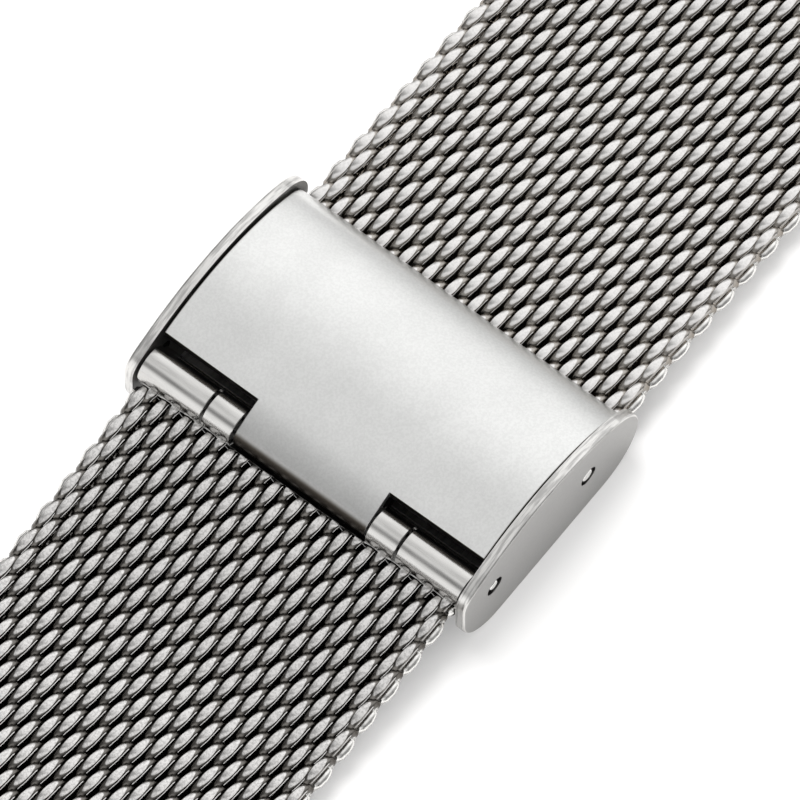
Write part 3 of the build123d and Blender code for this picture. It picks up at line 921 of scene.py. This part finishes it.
class BAND_OT_finishes(Operator):
    """Makes the band's metal finishes"""

    bl_idname = "band.finishes"
    bl_label = "Make Finishes"

    def execute(self, context):
        materials.update(all_materials(context.scene.band_finish))
        return {"FINISHED"}


class BAND_OT_weave_short_half(Operator):
    """Weaves the short half, from its lug to the barrel, and closes its end"""

    bl_idname = "band.weave_short_half"
    bl_label = "Weave Short Half"

    def execute(self, context):
        bodies = [f"strap_a_{number}" for number in range(6, 0, -1)]
        nodes = [f"mesh_a_{number}" for number in range(6, 0, -1)]
        path = smooth_path(half_a_corners())
        weave_strap("a", path, bodies, nodes, context.scene.band_weave, materials["weave"])
        half_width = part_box("mesh_a_1")[1][1]
        weld_line(path, weave_half_thickness(), half_width, materials["weld"])
        end_strip(materials["lever"])
        return {"FINISHED"}


class BAND_OT_weave_long_half(Operator):
    """Weaves the long half, from its tail in the clasp to its lug"""

    bl_idname = "band.weave_long_half"
    bl_label = "Weave Long Half"

    def execute(self, context):
        bodies = [f"strap_b_{number}" for number in range(1, 11)]
        nodes = [f"mesh_b_{number}" for number in range(1, 11)]
        path = smooth_path(half_b_corners())
        weave_strap("b", path, bodies, nodes, context.scene.band_weave, materials["weave"])
        return {"FINISHED"}


class BAND_OT_clasp(Operator):
    """Finishes the clasp's frame, cover, lever and pins"""

    bl_idname = "band.clasp"
    bl_label = "Finish Clasp"

    def execute(self, context):
        width = context.scene.band_finish.edge_softness
        soft_cover(materials["satin"], width)
        for name in ("left_side_plate", "right_side_plate"):
            finish_node(name, materials["plate"])
        finish_node("base_plate", materials["base"])
        finish_node("lock_lever", materials["lever"])
        finish_node("catch_tongue", materials["spring"])
        finish_node("barrel_pin", materials["lever"])
        for name in ("lever_pin", "catch_pin"):
            finish_node(name, materials["pin"])
        return {"FINISHED"}


class BAND_OT_barrel(Operator):
    """Finishes the knuckles that the short half hangs on, and the strip that closes the long half's tail"""

    bl_idname = "band.barrel"
    bl_label = "Finish Barrel"

    def execute(self, context):
        for name in ("long_knuckle_left", "long_knuckle_right", "short_knuckle_left", "short_knuckle_right"):
            finish_node(name, materials["tube"])
        finish_node("tail_edge", materials["weld"])
        return {"FINISHED"}


class BAND_OT_lug_ends(Operator):
    """Finishes the tubes and spring bars at both lug ends"""

    bl_idname = "band.lug_ends"
    bl_label = "Finish Lug Ends"

    def execute(self, context):
        for half in "ab":
            finish_node(f"end_tube_{half}", materials["tube"])
            finish_node(f"bar_body_{half}", materials["pin"])
            halved_spring(half, materials["spring"])
            for side in ("left", "right"):
                finish_node(f"bar_tip_{half}_{side}", materials["pin"])
        return {"FINISHED"}


def floor_material():
    """Pale floor: lit and shadowed as it is, and lifted to white where the camera or a reflection sees it.

    The lift is small near the band and larger far off, where the lamps don't reach. From below the floor is
    clear.
    """
    sheet = NodeSheet("pale floor")
    far_off = sheet.add("ShaderNodeVectorMath", {0: sheet.place()}, operation="LENGTH").outputs["Value"]
    diffuse = sheet.add("ShaderNodeBsdfDiffuse", {"Color": (0.82, 0.82, 0.82, 1.0)})
    soft = sheet.add("ShaderNodeBsdfDiffuse", {"Color": (0.62, 0.615, 0.61, 1.0)})
    lift = sheet.fade(far_off, 0.2, 0.8, 0.24, 0.7)
    glow = sheet.add("ShaderNodeEmission", {"Color": (1, 1, 1, 1), "Strength": lift})
    lifted = sheet.add("ShaderNodeAddShader", {0: soft.outputs[0], 1: glow.outputs[0]})
    rays = sheet.add("ShaderNodeLightPath").outputs
    seen = sheet.math("MAXIMUM", rays["Is Camera Ray"], rays["Is Glossy Ray"])
    seen = sheet.math("MAXIMUM", seen, rays["Is Transmission Ray"])
    above = sheet.add("ShaderNodeMixShader", {0: seen, 1: diffuse.outputs[0], 2: lifted.outputs[0]})
    below = sheet.add("ShaderNodeNewGeometry").outputs["Backfacing"]
    clear = sheet.add("ShaderNodeBsdfTransparent")
    inputs = {0: below, 1: above.outputs[0], 2: clear.outputs[0]}
    return sheet.finished(sheet.add("ShaderNodeMixShader", inputs))


# The sky's level from the short half's side at 0 to the long half's at 1, as pairs of place and level.
SKY_BANDS = ((0.0, 1.0), (0.08, 0.85), (0.16, 0.24), (0.23, 0.24), (0.34, 0.78), (0.46, 0.66), (0.58, 0.62),
             (0.68, 0.79), (0.78, 0.92), (1.0, 0.99))


def studio_sky(strength):
    """Surrounding light of a soft studio.

    Its level is the strength, times bands from the side of the short half to the side of the long one, times
    a rise from a dim horizon to full light overhead, times a fall towards both sides of the band.
    """
    sheet = NodeSheet("studio", world=True)
    direction = sheet.add("ShaderNodeTexCoord").outputs["Generated"]
    split = sheet.add("ShaderNodeSeparateXYZ", {0: direction}).outputs
    bands = sheet.add("ShaderNodeValToRGB", {0: sheet.math("MULTIPLY_ADD", split["X"], 0.5, 0.5)})
    stops = bands.color_ramp.elements
    while len(stops) < len(SKY_BANDS):
        stops.new(0.5)
    brightest = max(level for place, level in SKY_BANDS)
    for stop, (place, level) in zip(stops, SKY_BANDS):
        stop.position = place
        stop.color = (level / brightest, level / brightest, level / brightest, 1.0)
    height = sheet.math("MULTIPLY_ADD", split["X"], -0.1, split["Z"])
    sideways = sheet.math("ABSOLUTE", split["Y"])
    level = sheet.math("MULTIPLY", bands.outputs[0], strength * brightest)
    level = sheet.math("MULTIPLY", level, sheet.fade(height, -0.06, 0.16, 0.12, 1.0))
    level = sheet.math("MULTIPLY", level, sheet.fade(sideways, 0.40, 0.80, 1.0, 0.30))
    bpy.context.scene.world = sheet.finished(sheet.add("ShaderNodeBackground", {"Strength": level}))


def area_lamp(name, place, size, power):
    """A square lamp that faces the origin and that no reflection shows."""
    lamp = bpy.data.lights.new(name, "AREA")
    lamp.size = size
    lamp.energy = power
    holder = bpy.data.objects.new(name, lamp)
    holder.location = place
    holder.rotation_euler = (-Vector(place)).to_track_quat("-Z", "Y").to_euler()
    holder.visible_glossy = False
    bpy.context.scene.collection.objects.link(holder)


SENSOR_WIDTH = 36.0
CLIP_RANGE = (0.01, 100.0)


def photo_camera(stage):
    """The camera, which looks at the origin, with the shift that puts it where the photograph has it."""
    lens = bpy.data.cameras.new("camera")
    lens.sensor_width = SENSOR_WIDTH
    lens.lens = lens.sensor_width * stage.camera_distance / stage.frame_width
    lens.shift_x = 0.5 - stage.origin_column / stage.image_size
    lens.shift_y = stage.origin_row / stage.image_size - 0.5
    lens.clip_start, lens.clip_end = CLIP_RANGE
    camera = bpy.data.objects.new("camera", lens)
    flat = math.cos(stage.camera_height)
    back = Vector((-math.sin(stage.camera_turn) * flat, -math.cos(stage.camera_turn) * flat,
                   math.sin(stage.camera_height)))
    camera.location = back * stage.camera_distance
    camera.rotation_euler = (-back).to_track_quat("-Z", "Y").to_euler()
    bpy.context.scene.collection.objects.link(camera)
    bpy.context.scene.camera = camera


FLOOR_DROP = 0.02 * MM
KEY_PLACE, KEY_SIZE = (0.07, 0.22, 0.68), 0.40
FILL_PLACE, FILL_SIZE = (-0.45, -0.15, 0.40), 0.30


class BAND_OT_stage(Operator):
    """Sets the floor, lamps, surrounding light and camera"""

    bl_idname = "band.stage"
    bl_label = "Set Stage"

    def execute(self, context):
        stage = context.scene.band_stage
        reach = stage.floor_size
        low = cad_box[0][2] - FLOOR_DROP
        corners = [(x * reach, y * reach, low) for x, y in ((-1, -1), (1, -1), (1, 1), (-1, 1))]
        floor = mesh_object("floor", np.array(corners), [(0, 1, 2, 3)], smooth=False)
        floor.data.materials.append(floor_material())
        area_lamp("key lamp", KEY_PLACE, KEY_SIZE, stage.key_power)
        area_lamp("fill lamp", FILL_PLACE, FILL_SIZE, stage.fill_power)
        studio_sky(stage.sky_strength)
        photo_camera(stage)
        context.scene.view_settings.view_transform = "Standard"
        return {"FINISHED"}


class BAND_PT_panel(Panel):
    """Lists the band's operators"""

    bl_label = "Mesh Band"
    bl_idname = "BAND_PT_panel"
    bl_space_type = "VIEW_3D"
    bl_region_type = "UI"
    bl_category = "Mesh Band"

    def draw(self, context):
        for operator in OPERATORS:
            self.layout.operator(operator.bl_idname)


OPERATORS = (
    BAND_OT_finishes,
    BAND_OT_weave_short_half,
    BAND_OT_weave_long_half,
    BAND_OT_clasp,
    BAND_OT_barrel,
    BAND_OT_lug_ends,
    BAND_OT_stage,
)
GROUPS = {"band_weave": BandWeaveSettings, "band_finish": BandFinishSettings, "band_stage": BandStageSettings}


def register():
    for group in GROUPS.values():
        bpy.utils.register_class(group)
    for name, group in GROUPS.items():
        setattr(bpy.types.Scene, name, PointerProperty(type=group))
    for operator in OPERATORS:
        bpy.utils.register_class(operator)
    bpy.utils.register_class(BAND_PT_panel)


def unregister():
    bpy.utils.unregister_class(BAND_PT_panel)
    for operator in reversed(OPERATORS):
        bpy.utils.unregister_class(operator)
    for name, group in reversed(GROUPS.items()):
        delattr(bpy.types.Scene, name)
        bpy.utils.unregister_class(group)


def main():
    register()
    bpy.ops.band.finishes()
    bpy.ops.band.weave_short_half()
    bpy.ops.band.weave_long_half()
    bpy.ops.band.clasp()
    bpy.ops.band.barrel()
    bpy.ops.band.lug_ends()
    bpy.ops.band.stage()


if __name__ == "__main__":
    main()
